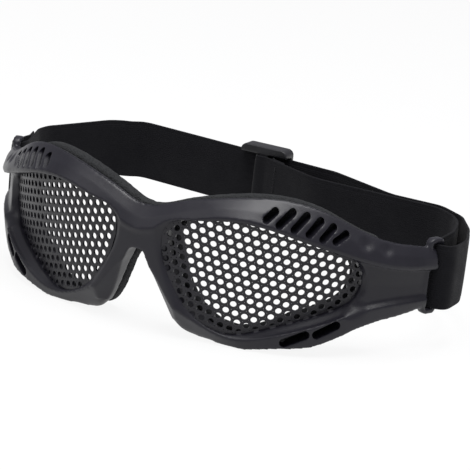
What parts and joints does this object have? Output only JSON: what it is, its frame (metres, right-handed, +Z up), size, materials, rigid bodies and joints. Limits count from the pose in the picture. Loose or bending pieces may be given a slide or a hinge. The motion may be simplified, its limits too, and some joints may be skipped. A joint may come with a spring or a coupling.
{
  "type": "mesh safety goggles",
  "caption": "Wrap-around safety goggles with a soft moulded frame, perforated metal lenses, a foam face pad and an elastic head strap with a slider.",
  "frame": {"origin": "under the middle of the whole object, at the height of the frame's lowest rim", "axes": "+X towards the wearer's left, +Y towards the back of the head, +Z up"},
  "size_m": [0.1946, 0.1256, 0.0552],
  "materials": {
    "frame_rubber": "satin soft moulded thermoplastic, dark charcoal",
    "mesh_metal": "black powder-coated perforated steel",
    "pad_foam": "matt closed-cell foam",
    "strap_elastic": "black ribbed elastic webbing",
    "slider_plastic": "satin black plastic",
    "thread": "black sewing thread"
  },
  "bodies": {
    "goggles": {"frame": "frame_rubber", "mesh_lens_left": "mesh_metal", "mesh_lens_right": "mesh_metal", "face_pad": "pad_foam", "elastic_strap": "strap_elastic", "strap_adjusting_run": "strap_elastic", "bar_tack_temple": "thread"},
    "strap_slider": {"slider": "slider_plastic", "strap_sewn_end": "strap_elastic", "bar_tack_slider": "thread"}
  },
  "joints": [
    {"name": "strap_adjust", "type": "slide", "parent": "goggles", "child": "strap_slider", "axis": [1, 0, 0], "range_m": [-0.034, 0.012], "deforming": ["strap_adjusting_run"]}
  ]
}
